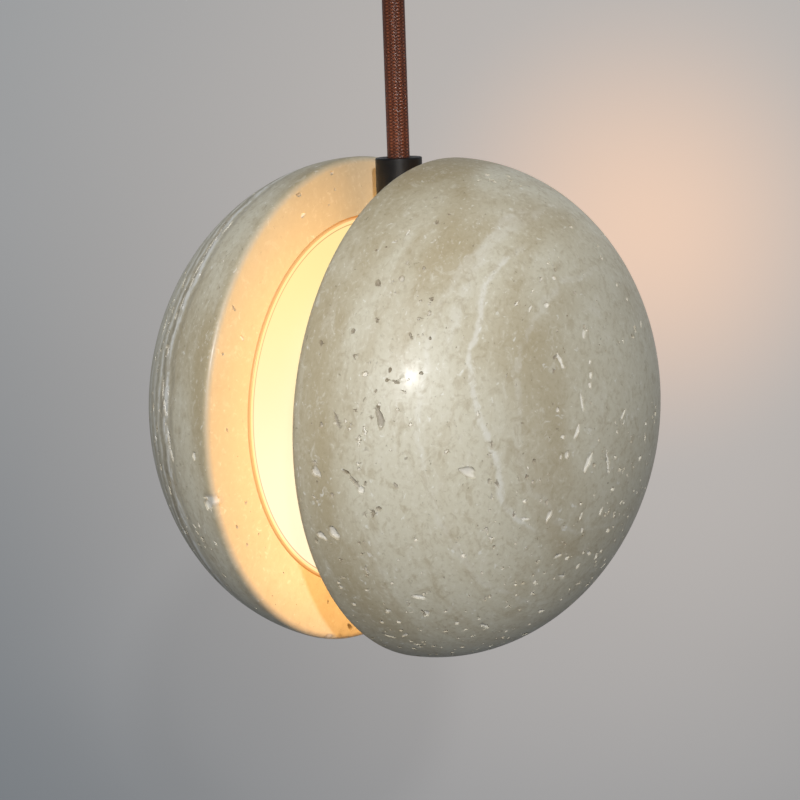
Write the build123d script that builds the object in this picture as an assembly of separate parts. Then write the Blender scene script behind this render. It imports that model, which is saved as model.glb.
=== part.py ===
from build123d import *
import math
import os

# Split globe pendant light: two domed travertine halves on one cross rod, with a lit gap between them,
# hung by a fabric cord from a ceiling cup. The origin is the centre of the ceiling bracket's top face,
# +Z is up, +X is the axis from the left half to the right half, and -Y is the front.
# All sizes are in millimetres and degrees.

# Stone halves
shell_radius = 75.0
dome_depth = 60.0
gap_width = 30.0
rim_round = 2.0

# Opal diffusers
diffuser_radius = 56.8
diffuser_thickness = 8.0
diffuser_proud = 0.5
diffuser_wall = 3.0
diffuser_edge_round = 0.4
diffuser_clearance = 0.5
ledge_width = 5.0

# LED boards on their back plates
mixing_depth = 9.4
board_thickness = 1.6
board_inner_radius = 26.0
plate_thickness = 3.0
plate_clearance = 1.5
board_margin = 3.0
led_size = 3.0
led_height = 0.7
led_count = 24
board_screw_inset = 3.8
board_screw_count = 3
board_screw_turn = 30.0

# Back plate boss, its screws and the brass inserts in the stone
boss_radius = 9.0
boss_length = 8.0
plate_screw_ring = 21.0
plate_screw_count = 3
plate_screw_length = 12.0
insert_radius = 3.4
insert_length = 10.0
glue_gap = 0.1

# Hub, cross rod, collars and lock nuts
hub_radius = 14.0
rod_radius = 5.0
rod_bore_radius = 3.0
rod_window_radius = 2.6
thread_clearance = 0.05
collar_wall = 2.0
collar_clearance = 0.3
washer_thickness = 1.0
washer_width = 4.0
nut_across_flats = 14.0
nut_thickness = 5.0
rod_past_nut = 1.4

# Stem
stem_radius = 7.0
stem_wall = 1.5
socket_floor_over_rod = 1.5
grip_height = 12.0
stem_edge_round = 0.4

# Cord and its free drop to the ceiling cup's outlet
cord_radius = 3.4
cord_clearance = 0.3
cord_below_grip = 5.0
cord_drop = 50.0
swing_limit = 20.0

# Thin leads inside the lamp
lead_radius = 0.5
lead_turn = 3.0
lead_spread = 0.8
lead_room = 1.5
lead_hole_radius = 1.8
lead_lift = 0.3
lead_hole_web = 1.0
pocket_clearance = 0.5
lead_reach = 2.0

# Ceiling cup and its cord outlet
cup_radius = 50.0
cup_height = 30.0
cup_wall = 1.2
cup_edge_round = 3.0
cup_floor_round = 1.8
outlet_radius = 9.5
outlet_height = 12.0
outlet_pivot_depth = 3.0
outlet_edge_round = 1.2
outlet_thread_radius = 6.0
outlet_thread_length = 6.5
outlet_nut_across_flats = 17.0
outlet_nut_thickness = 4.0

# Ceiling bracket
bracket_width = 14.0
bracket_thickness = 1.5
bracket_clearance = 0.8
bracket_tab_height = 14.0
slot_spacing = 60.0
slot_width = 5.0
slot_length = 12.0

# Terminal block, driver and their wires
terminal_length = 22.0
terminal_depth = 12.0
terminal_height = 10.0
terminal_ways = 3
driver_length = 54.0
driver_depth = 24.0
driver_height = 18.0
driver_round = 2.0
driver_offset = 12.0
pad_thickness = 1.0
pad_inset = 3.0
tail_above_nut = 6.0
wire_radius = 0.7
wire_turn = 1.2
core_radius = 0.9
core_turn = 2.7
core_spread = 1.4
core_rise = 3.7
wire_below_corner = 1.0
tag_thickness = 0.8
tag_width = 8.0
tag_reach = 4.0
earth_screw_offset = 17.5

# Screws: shank radius, head radius, head height
m3_screw = (1.5, 2.75, 1.8)
m4_screw = (2.0, 3.6, 2.4)
socket_share = 0.7
screw_clearance = 0.2
screw_past_tab = 1.0
grip_screw_radius = 2.0
hub_screw_radius = 1.5
hub_screw_rise = 2.0
terminal_screw_radius = 1.5

# X positions in the right half, from the lamp's centre
face_x = gap_width / 2
diffuser_front_x = face_x - diffuser_proud
seat_x = diffuser_front_x + diffuser_thickness
board_front_x = seat_x + mixing_depth
board_back_x = board_front_x + board_thickness
cavity_x = board_back_x + plate_thickness
insert_end_x = cavity_x + insert_length
boss_end_x = cavity_x + boss_length
nut_end_x = boss_end_x + nut_thickness
rod_end_x = nut_end_x + rod_past_nut
lead_bend_x = rod_end_x + lead_room + lead_turn
pocket_x = lead_bend_x + lead_radius + lead_room
hub_end_x = diffuser_front_x - washer_thickness

# Radii about the cross axis
seat_radius = diffuser_radius + diffuser_clearance
cavity_radius = diffuser_radius - ledge_width
plate_radius = cavity_radius - plate_clearance
board_outer_radius = plate_radius - board_margin
led_ring_radius = (board_inner_radius + board_outer_radius) / 2
collar_bore_radius = rod_radius + thread_clearance
collar_radius = collar_bore_radius + collar_wall
centre_hole_radius = collar_radius + collar_clearance
lead_ring_radius = boss_radius + lead_hole_radius + lead_hole_web
pocket_radius = lead_ring_radius + lead_hole_radius + pocket_clearance
board_screw_ring = board_outer_radius - board_screw_inset

# Heights. Inside the lamp they are counted from its centre, and in the ceiling cup from the ceiling.
socket_floor = rod_radius + socket_floor_over_rod
hub_screw_height = socket_floor + hub_screw_rise
stem_top = shell_radius
grip_bottom = stem_top - grip_height
grip_screw_height = (grip_bottom + stem_top) / 2
cord_end = grip_bottom - cord_below_grip
outlet_mouth = -(cup_height + outlet_height)
pivot_height = -(cup_height + outlet_pivot_depth)
lamp_height = outlet_mouth - cord_drop - stem_top
outlet_bore_radius = cord_radius / math.cos(math.radians(swing_limit)) + cord_clearance
cup_floor = cup_wall - cup_height
tail_bottom = pivot_height + cord_radius * math.sin(math.radians(swing_limit)) + cord_clearance
tail_top = cup_floor + outlet_nut_thickness + tail_above_nut
bracket_half_length = cup_radius - cup_wall - bracket_clearance
cup_screw_height = -(bracket_tab_height + bracket_thickness) / 2
terminal_pitch = terminal_length / terminal_ways

# How far a cut runs past the face that it goes through
past = 1.0


def along_x(radius, start, end, y=0.0, z=0.0):
    """A cylinder along X between two X positions."""
    return Pos((start + end) / 2, y, z) * Rot(0, 90, 0) * Cylinder(radius, end - start)


def along_y(radius, start, end, x=0.0, z=0.0):
    """A cylinder along Y between two Y positions."""
    return Pos(x, (start + end) / 2, z) * Rot(90, 0, 0) * Cylinder(radius, end - start)


def upright(radius, low, high, x=0.0, y=0.0):
    """A cylinder along Z between two heights."""
    return Pos(x, y, (low + high) / 2) * Cylinder(radius, high - low)


def block(x, y, z):
    """A box from three (low, high) pairs."""
    centre = Pos((x[0] + x[1]) / 2, (y[0] + y[1]) / 2, (z[0] + z[1]) / 2)
    return centre * Box(x[1] - x[0], y[1] - y[0], z[1] - z[0])


def hex_along_x(across_flats, start, end):
    """A hexagonal prism along X."""
    across_corners = across_flats / math.cos(math.radians(30))
    outline = Plane.YZ.offset(start) * RegularPolygon(across_corners / 2, 6)
    return extrude(outline, end - start)


def around_x(shape, count, first=0.0):
    """Copies of a shape turned about the X axis, evenly spaced."""
    return [Rot(first + i * 360 / count, 0, 0) * shape for i in range(count)]


def group(shapes):
    """Separate solids that share one node."""
    solids = [solid for shape in shapes for solid in shape.solids()]
    return Compound(solids)


def screw_along_x(screw, seat, length, z=0.0):
    """A socket screw whose head stands on X = seat towards -X and whose shank runs towards +X."""
    shank, head, height = screw
    body = along_x(head, seat - height, seat, z=z) + along_x(shank, seat, seat + length, z=z)
    socket = Plane.YZ.offset(seat - height) * Pos(0, z) * RegularPolygon(shank * socket_share, 6)
    return body - extrude(socket, height / 2)


def wire(points, radius, turn):
    """A round wire along straight runs joined by tangent arcs."""
    path = FilletPolyline(*points, radius=turn)
    section = Plane(origin=path @ 0, z_dir=path % 0) * Circle(radius)
    tube = sweep(section, path=path)
    expected = math.pi * radius ** 2 * path.length
    share = tube.volume / expected
    print(f"wire: turn {turn:.1f}, length {path.length:.1f}, volume {share:.4f} of section times length")
    return tube


# Stone halves

def half_section(radius, start, end):
    """A rectangle above the X axis, which turns into a round recess."""
    return Pos((start + end) / 2, radius / 2) * Rectangle(end - start, radius)


def make_shell():
    """The right half: half an ellipsoid of travertine with stepped recesses in its flat face."""
    profile = Pos(face_x, 0) * Ellipse(dome_depth, shell_radius)
    profile &= half_section(shell_radius, face_x, face_x + dome_depth)
    profile = fillet(profile.vertices().sort_by(Axis.Y)[-1], rim_round)
    profile -= half_section(seat_radius, face_x, seat_x)
    profile -= half_section(cavity_radius, face_x, cavity_x)
    profile -= half_section(pocket_radius, face_x, pocket_x)
    dome = revolve(profile, Axis.X)
    hole = along_x(insert_radius + glue_gap, face_x, insert_end_x, z=plate_screw_ring)
    for cut in around_x(hole, plate_screw_count):
        dome -= cut
    return dome


def make_diffuser():
    """A shallow opal cup: its rim stands on the stone's ledge, and its face is almost flush with it."""
    disc = along_x(diffuser_radius, diffuser_front_x, seat_x)
    front_edge = disc.edges().filter_by(GeomType.CIRCLE).sort_by(Axis.X)[0]
    disc = fillet(front_edge, diffuser_edge_round)
    disc -= along_x(diffuser_radius - diffuser_wall, diffuser_front_x + diffuser_wall, seat_x + past)
    return disc - along_x(centre_hole_radius, diffuser_front_x - past, seat_x)


def make_diffuser_washer():
    """The soft ring that lets the hub's end hold the diffuser."""
    ring = along_x(centre_hole_radius + washer_width, hub_end_x, diffuser_front_x)
    return ring - along_x(centre_hole_radius, hub_end_x - past, diffuser_front_x + past)


# Light source in each half

def through_plate(radius, ring):
    """A round cut through the back plate and the board on it, at a distance above the axis."""
    return along_x(radius, board_front_x - past, cavity_x + past, z=ring)


def make_back_plate():
    """The aluminium plate that carries the board, with the threaded boss that takes the cross rod."""
    plate = along_x(plate_radius, board_back_x, cavity_x)
    plate += along_x(boss_radius, cavity_x, boss_end_x)
    plate -= along_x(rod_radius + thread_clearance, board_back_x - past, boss_end_x + past)
    plate -= through_plate(lead_hole_radius, -lead_ring_radius)
    screw_hole = through_plate(m4_screw[0] + screw_clearance, plate_screw_ring)
    for cut in around_x(screw_hole, plate_screw_count):
        plate -= cut
    tapped_hole = through_plate(m3_screw[0] + thread_clearance, board_screw_ring)
    for cut in around_x(tapped_hole, board_screw_count, board_screw_turn):
        plate -= cut
    return plate


def make_led_board():
    """The white ring board."""
    board = along_x(board_outer_radius, board_front_x, board_back_x)
    board -= along_x(board_inner_radius, board_front_x - past, board_back_x + past)
    hole = through_plate(m3_screw[0] + screw_clearance, board_screw_ring)
    for cut in around_x(hole, board_screw_count, board_screw_turn):
        board -= cut
    return board


def make_leds():
    """One ring of square LED packages on the board."""
    package = block(
        (board_front_x - led_height, board_front_x),
        (-led_size / 2, led_size / 2),
        (led_ring_radius - led_size / 2, led_ring_radius + led_size / 2),
    )
    return group(around_x(package, led_count, 180 / led_count))


def make_board_screws():
    """Three screws that hold the board on its plate."""
    screw = screw_along_x(m3_screw, board_front_x, board_thickness + plate_thickness, z=board_screw_ring)
    return group(around_x(screw, board_screw_count, board_screw_turn))


def make_plate_screws():
    """Three screws that hold the back plate on the stone's inserts."""
    screw = screw_along_x(m4_screw, board_back_x, plate_screw_length, z=plate_screw_ring)
    return group(around_x(screw, plate_screw_count))


def make_inserts():
    """Three brass inserts glued into the stone."""
    insert = along_x(insert_radius, cavity_x, insert_end_x, z=plate_screw_ring)
    bore = m4_screw[0] + thread_clearance
    insert -= along_x(bore, cavity_x - past, insert_end_x + past, z=plate_screw_ring)
    return group(around_x(insert, plate_screw_count))


def make_collar():
    """The sleeve on the cross rod that holds the back plate off the hub."""
    sleeve = along_x(collar_radius, hub_end_x, board_back_x)
    return sleeve - along_x(collar_bore_radius, hub_end_x - past, board_back_x + past)


def make_lock_nut():
    """The nut that locks the cross rod behind the boss."""
    nut = hex_along_x(nut_across_flats, boss_end_x, nut_end_x)
    return nut - along_x(rod_radius + thread_clearance, boss_end_x - past, nut_end_x + past)


def make_leads():
    """Two thin leads from the cord's end, down the stem, along the rod and back to the board."""
    over_board = board_front_x - lead_radius - lead_lift
    wires = []
    for y in (-lead_spread, lead_spread):
        route = [
            (lead_spread, y, cord_end - cord_clearance),
            (lead_spread, y, 0),
            (lead_bend_x, y, 0),
            (lead_bend_x, y, -lead_ring_radius),
            (over_board, y, -lead_ring_radius),
            (over_board, y, -board_inner_radius - lead_reach),
        ]
        wires.append(wire(route, lead_radius, lead_turn))
    return group(wires)


# Middle of the lamp

def make_cross_rod():
    """The hollow threaded rod through both halves, with a window under the stem for the leads."""
    rod = along_x(rod_radius, -rod_end_x, rod_end_x)
    rod -= along_x(rod_bore_radius, -rod_end_x - past, rod_end_x + past)
    return rod - upright(rod_window_radius, 0, rod_radius + past)


def make_hub():
    """The block between the diffusers that joins the stem to the cross rod."""
    hub = along_x(hub_radius, -hub_end_x, hub_end_x)
    hub -= along_x(rod_radius + thread_clearance, -hub_end_x - past, hub_end_x + past)
    hub -= upright(stem_radius + thread_clearance, socket_floor, hub_radius + past)
    hub -= upright(rod_bore_radius, 0, socket_floor + past)
    return hub - along_y(hub_screw_radius + thread_clearance, 0, hub_radius + past, z=hub_screw_height)


def make_hub_grub_screw():
    """The grub screw at the back of the hub that bears on the stem."""
    end = math.sqrt(hub_radius ** 2 - (hub_screw_height + hub_screw_radius) ** 2)
    return along_y(hub_screw_radius, stem_radius, end, z=hub_screw_height)


def make_stem():
    """The black tube from the hub up to the top of the globe."""
    stem = upright(stem_radius, socket_floor, stem_top)
    top_edge = stem.edges().filter_by(GeomType.CIRCLE).sort_by(Axis.Z)[-1]
    stem = fillet(top_edge, stem_edge_round)
    stem -= upright(stem_radius - stem_wall, socket_floor - past, stem_top + past)
    return stem - along_y(grip_screw_radius + thread_clearance, 0, stem_radius + past, z=grip_screw_height)


def make_cord_grip():
    """The plug in the stem's top that the cord passes through."""
    grip = upright(stem_radius - stem_wall - thread_clearance, grip_bottom, stem_top)
    grip -= upright(cord_radius + cord_clearance, grip_bottom - past, stem_top + past)
    return grip - along_y(grip_screw_radius + thread_clearance, 0, stem_radius + past, z=grip_screw_height)


def make_cord_grip_screw():
    """The clamping screw at the back of the stem."""
    end = math.sqrt(stem_radius ** 2 - grip_screw_radius ** 2)
    return along_y(grip_screw_radius, cord_radius + cord_clearance, end, z=grip_screw_height)


# Cord and ceiling cup

def make_cord():
    """The straight taut fabric cord between the lamp's grip and the ceiling cup's outlet."""
    low = lamp_height + cord_end
    cord = upright(cord_radius, low, pivot_height)
    length = pivot_height - low
    share = cord.volume / (math.pi * cord_radius ** 2 * length)
    print(f"cord: straight, length {length:.1f}, volume {share:.4f} of section times length")
    return cord


def make_cord_tail():
    """The cord's end inside the ceiling cup, up to where its sheath is cut back."""
    return upright(cord_radius, tail_bottom, tail_top)


def make_outlet():
    """The cord outlet under the cup: a threaded neck, and a skirt whose bell mouth lets the cord swing."""
    skirt = upright(outlet_radius, outlet_mouth, -cup_height)
    skirt = fillet(skirt.edges().filter_by(GeomType.CIRCLE).sort_by(Axis.Z)[0], outlet_edge_round)
    neck = upright(outlet_thread_radius, -cup_height, cup_floor + outlet_thread_length)
    bell_depth = pivot_height - outlet_mouth
    bell_radius = outlet_bore_radius + bell_depth * math.tan(math.radians(swing_limit))
    bell = Pos(0, 0, (pivot_height + outlet_mouth) / 2) * Cone(bell_radius, outlet_bore_radius, bell_depth)
    bore = upright(outlet_bore_radius, outlet_mouth, cup_floor + outlet_thread_length + past)
    return skirt + neck - bell - bore


def make_outlet_nut():
    """The hexagonal nut that holds the outlet inside the cup."""
    across_corners = outlet_nut_across_flats / math.cos(math.radians(30))
    outline = Plane.XY.offset(cup_floor) * RegularPolygon(across_corners / 2, 6)
    nut = extrude(outline, outlet_nut_thickness)
    return nut - upright(outlet_thread_radius + thread_clearance, cup_floor - past, 0)


def make_cup():
    """The ceiling cup: a drawn steel shell, open against the ceiling."""
    cup = upright(cup_radius, -cup_height, 0)
    cup = fillet(cup.edges().filter_by(GeomType.CIRCLE).sort_by(Axis.Z)[0], cup_edge_round)
    hollow = upright(cup_radius - cup_wall, cup_floor, past)
    floor_edge = hollow.edges().filter_by(GeomType.CIRCLE).sort_by(Axis.Z)[0]
    cup -= fillet(floor_edge, cup_floor_round)
    cup -= upright(outlet_thread_radius + screw_clearance, -cup_height - past, cup_floor + past)
    reach = cup_radius + past
    return cup - along_x(m4_screw[0] + screw_clearance, -reach, reach, z=cup_screw_height)


def make_cup_screws():
    """Two side screws through the cup's wall into the bracket's tabs."""
    length = cup_radius - bracket_half_length + bracket_thickness + screw_past_tab
    left = screw_along_x(m4_screw, -cup_radius, length, z=cup_screw_height)
    return group([left, mirror(left, about=Plane.YZ)])


def make_bracket():
    """The steel strap on the ceiling, with a tapped tab turned down at each end."""
    half = bracket_half_length
    wide = bracket_width / 2
    strap = block((-half, half), (-wide, wide), (-bracket_thickness, 0))
    for side in (-1, 1):
        inner, outer = sorted((side * (half - bracket_thickness), side * half))
        strap += block((inner, outer), (-wide, wide), (-bracket_tab_height, 0))
        slot = Pos(side * slot_spacing / 2, 0, 0) * SlotOverall(slot_length, slot_width)
        strap -= extrude(Pos(0, 0, -bracket_thickness - past) * slot, bracket_thickness + 2 * past)
    strap -= along_x(m4_screw[0] + thread_clearance, -half - past, half + past, z=cup_screw_height)
    bore = m4_screw[0] + thread_clearance
    return strap - upright(bore, -bracket_thickness - past, past, x=earth_screw_offset)


def make_earth_tag():
    """The flat ring tag that the earth screw holds on the bracket."""
    low = -bracket_thickness - tag_thickness
    tag = upright(tag_width / 2, low, -bracket_thickness, x=earth_screw_offset)
    sides = (earth_screw_offset - tag_width / 4, earth_screw_offset + tag_width / 4)
    tag += block(sides, (-bracket_width / 2 - tag_reach, 0), (low, -bracket_thickness))
    return tag - upright(m4_screw[0] + screw_clearance, low - past, 0, x=earth_screw_offset)


def make_earth_screw():
    """The screw that holds the earth tag."""
    shank, head, height = m4_screw
    seat = -bracket_thickness - tag_thickness
    screw = upright(head, seat - height, seat, x=earth_screw_offset)
    return screw + upright(shank, seat, 0, x=earth_screw_offset)


def terminal_screw_places():
    """The centres of the terminal screws: two to each way."""
    ways = range(terminal_ways)
    xs = [(i - (terminal_ways - 1) / 2) * terminal_pitch for i in ways]
    return [(x, y) for x in xs for y in (-terminal_depth / 4, terminal_depth / 4)]


def make_terminal_block():
    """The terminal block under the bracket's middle, with its screw wells open below."""
    top = -bracket_thickness
    bottom = top - terminal_height
    half_length = terminal_length / 2
    half_depth = terminal_depth / 2
    body = block((-half_length, half_length), (-half_depth, half_depth), (bottom, top))
    for x, y in terminal_screw_places():
        body -= upright(terminal_screw_radius + screw_clearance, bottom - past, (top + bottom) / 2, x, y)
    return body


def make_terminal_screws():
    """The small clamping screws in the terminal block."""
    high = -bracket_thickness - terminal_height / 2
    low = high - terminal_height / 3
    return group([upright(terminal_screw_radius, low, high, x, y) for x, y in terminal_screw_places()])


def make_driver_pad():
    """The foam pad that holds the driver on the cup's floor."""
    return block(
        (pad_inset - driver_length / 2, driver_length / 2 - pad_inset),
        (driver_offset + pad_inset, driver_offset + driver_depth - pad_inset),
        (cup_floor, cup_floor + pad_thickness),
    )


def make_driver():
    """The LED driver, a closed box at the back of the cup."""
    low = cup_floor + pad_thickness
    body = block(
        (-driver_length / 2, driver_length / 2),
        (driver_offset, driver_offset + driver_depth),
        (low, low + driver_height),
    )
    return fillet(body.edges(), driver_round)


def make_cores():
    """The cord's two cores, from the cut sheath to the driver."""
    level = tail_top + core_rise
    wires = []
    for x in (-core_spread, core_spread):
        route = [(x, 0, tail_top), (x, 0, level), (x, driver_offset, level)]
        wires.append(wire(route, core_radius, core_turn))
    return group(wires)


def make_supply_wires():
    """Two wires from the driver to the terminal block."""
    terminal_side = terminal_depth / 2
    between = (terminal_side + driver_offset) / 2
    low = cup_floor + pad_thickness + driver_height - driver_round - wire_radius - wire_below_corner
    high = -bracket_thickness - terminal_height / 2
    wires = []
    for x in (-terminal_pitch, terminal_pitch):
        route = [(x, driver_offset, low), (x, between, low), (x, between, high), (x, terminal_side, high)]
        wires.append(wire(route, wire_radius, wire_turn))
    return group(wires)


def make_earth_wire():
    """The wire from the terminal block's middle way to the earth tag."""
    front = -bracket_width / 2 - tag_reach / 2
    level = -bracket_thickness - terminal_height / 2
    route = [
        (0, -terminal_depth / 2, level),
        (0, front, level),
        (earth_screw_offset, front, level),
        (earth_screw_offset, front, -bracket_thickness - tag_thickness),
    ]
    return wire(route, wire_radius, wire_turn)


# All nodes

def in_lamp(shape):
    """Moves a shape from the lamp's centre to its place under the ceiling."""
    return Pos(0, 0, lamp_height) * shape


def make_parts():
    """Every node of the part, by name."""
    half_pieces = {
        "stone_shell": make_shell(),
        "diffuser": make_diffuser(),
        "diffuser_washer": make_diffuser_washer(),
        "led_board": make_led_board(),
        "leds": make_leds(),
        "board_screws": make_board_screws(),
        "back_plate": make_back_plate(),
        "plate_screws": make_plate_screws(),
        "stone_inserts": make_inserts(),
        "spacer_collar": make_collar(),
        "lock_nut": make_lock_nut(),
        "leads": make_leads(),
    }
    parts = {}
    for name, piece in half_pieces.items():
        parts["right_" + name] = in_lamp(piece)
        parts["left_" + name] = in_lamp(Rot(0, 0, 180) * piece)
    middle = {
        "hub": make_hub(),
        "hub_grub_screw": make_hub_grub_screw(),
        "cross_rod": make_cross_rod(),
        "stem": make_stem(),
        "cord_grip": make_cord_grip(),
        "cord_grip_screw": make_cord_grip_screw(),
    }
    for name, piece in middle.items():
        parts[name] = in_lamp(piece)
    parts["cord"] = make_cord()
    parts["cord_tail"] = make_cord_tail()
    parts["cord_cores"] = make_cores()
    parts["cord_outlet"] = make_outlet()
    parts["outlet_nut"] = make_outlet_nut()
    parts["ceiling_cup"] = make_cup()
    parts["cup_screws"] = make_cup_screws()
    parts["ceiling_bracket"] = make_bracket()
    parts["terminal_block"] = make_terminal_block()
    parts["terminal_screws"] = make_terminal_screws()
    parts["earth_tag"] = make_earth_tag()
    parts["earth_screw"] = make_earth_screw()
    parts["earth_wire"] = make_earth_wire()
    parts["supply_wires"] = make_supply_wires()
    parts["led_driver"] = make_driver()
    parts["driver_pad"] = make_driver_pad()
    return parts


os.makedirs("parts", exist_ok=True)
for node, solid in make_parts().items():
    export_step(solid, f"parts/{node}.step")
print(f"lamp centre at Z {lamp_height:.2f}, swing pivot at Z {pivot_height:.2f}")
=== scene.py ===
"""Dresses the split globe pendant light: stone halves, lit discs, a braided cord and a ceiling cup."""
import math
import random

import bpy
import numpy as np
from mathutils import Matrix, Vector, geometry, noise


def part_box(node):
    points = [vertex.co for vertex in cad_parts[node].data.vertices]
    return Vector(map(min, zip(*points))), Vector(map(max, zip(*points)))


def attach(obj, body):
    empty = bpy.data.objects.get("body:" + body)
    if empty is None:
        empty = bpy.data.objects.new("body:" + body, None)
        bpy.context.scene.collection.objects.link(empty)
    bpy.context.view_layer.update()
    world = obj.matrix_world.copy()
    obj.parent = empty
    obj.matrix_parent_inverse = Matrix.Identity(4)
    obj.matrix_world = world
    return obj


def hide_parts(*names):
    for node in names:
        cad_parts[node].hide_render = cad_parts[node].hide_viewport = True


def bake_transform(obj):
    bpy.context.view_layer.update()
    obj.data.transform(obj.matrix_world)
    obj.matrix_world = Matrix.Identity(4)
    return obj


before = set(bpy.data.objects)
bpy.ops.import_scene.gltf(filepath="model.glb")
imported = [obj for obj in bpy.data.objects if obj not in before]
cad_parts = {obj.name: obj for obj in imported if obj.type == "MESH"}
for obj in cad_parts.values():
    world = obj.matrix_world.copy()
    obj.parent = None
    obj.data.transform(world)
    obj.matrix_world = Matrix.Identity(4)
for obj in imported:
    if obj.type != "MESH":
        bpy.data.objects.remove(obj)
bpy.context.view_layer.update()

# Sizes of the part that the pieces below need, in metres
MM = 0.001
SHELL_RADIUS = 74.98 * MM
DOME_DEPTH = 60 * MM
RIM_ROUND = 2 * MM
SEAT_RADIUS = 57.3 * MM
CAVITY_RADIUS = 51.8 * MM
POCKET_RADIUS = 14.1 * MM
POCKET_X = 57.4 * MM
INSERT_HOLE_RADIUS = 3.5 * MM
INSERT_RING = 21 * MM
INSERT_COUNT = 3
CORD_RADIUS = 3.4 * MM
SWING_PIVOT_Z = -33 * MM

shell_low, shell_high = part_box("right_stone_shell")
seat_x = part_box("right_diffuser")[1].x
cavity_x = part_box("right_stone_inserts")[0].x
insert_end_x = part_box("right_stone_inserts")[1].x
stem_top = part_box("stem")[1].z
cord_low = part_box("cord")[0].z
cord_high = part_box("cord_tail")[1].z
FACE_X = shell_low.x
LAMP_Z = (shell_low.z + shell_high.z) / 2
LAMP_CENTRE = Vector((0, 0, LAMP_Z))
SIDES = {"left": -1, "right": 1}


# Camera, from the outlines fitted in the photograph

LENS_MM = 89.93
SENSOR_MM = 36.0
IMAGE_SIZE = 800
CAMERA_FROM_LAMP = Vector((355.7, -483.7, 114.4)) * MM
VIEW_AZIMUTH = math.radians(36.53)
VIEW_ELEVATION = math.radians(10.68)
VIEW_ROLL = math.radians(-2.0)


def make_camera():
    """The photograph's camera, at the distance and with the lens that its outlines give."""
    data = bpy.data.cameras.new("camera")
    data.lens = LENS_MM
    data.sensor_width = SENSOR_MM
    made = bpy.data.objects.new("camera", data)
    back = Vector((
        math.sin(VIEW_AZIMUTH) * math.cos(VIEW_ELEVATION),
        -math.cos(VIEW_AZIMUTH) * math.cos(VIEW_ELEVATION),
        math.sin(VIEW_ELEVATION),
    ))
    turn = (-back).to_track_quat("-Z", "Y").to_matrix() @ Matrix.Rotation(VIEW_ROLL, 3, "Z")
    made.matrix_world = Matrix.Translation(LAMP_CENTRE + CAMERA_FROM_LAMP) @ turn.to_4x4()
    bpy.context.collection.objects.link(made)
    bpy.context.scene.camera = made
    return made


camera = make_camera()


def ray_through(pixel, side):
    """The camera's place and the way through a pixel, in a half's own coordinates."""
    focal = LENS_MM / SENSOR_MM * IMAGE_SIZE
    seen = Vector(((pixel[0] - IMAGE_SIZE / 2) / focal, (IMAGE_SIZE / 2 - pixel[1]) / focal, -1))
    way = camera.matrix_world.to_3x3() @ seen
    place = camera.matrix_world.translation - LAMP_CENTRE
    turn = np.array([side, side, 1])
    return np.array(place) * turn - np.array([FACE_X, 0, 0]), np.array(way) * turn


def seen_on_dome(pixel, side):
    """The point of a half's dome that a pixel shows."""
    place, way = ray_through(pixel, side)
    shrink = 1 / np.array([DOME_DEPTH, SHELL_RADIUS, SHELL_RADIUS])
    p, q = place * shrink, way * shrink
    a, b, c = q @ q, 2 * p @ q, p @ p - 1
    return place + way * (-b - math.sqrt(max(b * b - 4 * a * c, 0))) / (2 * a)


def seen_on_face(pixel, side):
    """The point of a half's flat face that a pixel shows."""
    place, way = ray_through(pixel, side)
    return place - way * place[0] / way[0]


# Helpers for meshes

def add_mesh(name, vertices, faces):
    """A smooth mesh object from points and faces."""
    mesh = bpy.data.meshes.new(name)
    mesh.from_pydata(np.asarray(vertices).tolist(), [], [tuple(int(i) for i in f) for f in faces])
    mesh.shade_smooth()
    thing = bpy.data.objects.new(name, mesh)
    bpy.context.collection.objects.link(thing)
    return thing


def add_values(thing, name, values):
    """One number for each point of a mesh, which its material reads."""
    layer = thing.data.attributes.new(name, "FLOAT", "POINT")
    layer.data.foreach_set("value", np.asarray(values, np.float32))


# Travertine halves. Each is built in its own coordinates: the height above its flat face, then Y and Z
# from the middle of the lamp. The left one is the same form turned half round the vertical axis.

COLUMNS = 320
POCKET_COLUMNS = 96
HOLE_COLUMNS = 32
ROUND_STEPS = 6
SPACING = 1.15 * MM
FLOOR_SPACING = 4 * MM
SHARP_ANGLE = math.radians(38)
PROFILE_STEPS = 600
PIT_WALL = 0.34
OUTLINE_SHARE = 1.04
RING_SHARES = (OUTLINE_SHARE, 0.8, 0.5)
SMALL_RING_SHARES = (OUTLINE_SHARE, 0.55)
OUTLINE_STEP = 0.34 * MM
DEEPEST_PIT = 0.9 * MM
SMALL_PIT = 0.42 * MM
PIT_SIZES = (0.26, 0.3, 0.36, 0.42, 0.5, 0.62, 0.78)
PITS_PER_DOME = 520
PITS_PER_FACE = 60
PALE_PIT_GROWTH = 1.4
HEADING_PIXELS = 4

profile_angles = np.linspace(0, math.pi / 2, PROFILE_STEPS)
profile_steps = np.hypot(
    np.diff(DOME_DEPTH * np.cos(profile_angles)),
    np.diff(SHELL_RADIUS * np.sin(profile_angles)),
)
profile_lengths = np.concatenate([[0], np.cumsum(profile_steps)])


def dome_normal(points):
    """Outward normals of the plain dome."""
    normals = points / np.array([DOME_DEPTH, SHELL_RADIUS, SHELL_RADIUS]) ** 2
    return normals / np.linalg.norm(normals, axis=1, keepdims=True)


def rim_start():
    """Where the rounded rim begins on the dome, its lean there, and the radius of its arc's centre."""
    normal_x = np.cos(profile_angles) / DOME_DEPTH
    normal_r = np.sin(profile_angles) / SHELL_RADIUS
    size = np.hypot(normal_x, normal_r)
    height = DOME_DEPTH * np.cos(profile_angles) - RIM_ROUND * normal_x / size
    angle = float(np.interp(-RIM_ROUND, -height, profile_angles))
    lean = math.atan2(math.cos(angle) / DOME_DEPTH, math.sin(angle) / SHELL_RADIUS)
    return angle, lean, SHELL_RADIUS * math.sin(angle) - RIM_ROUND * math.cos(lean)


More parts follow.
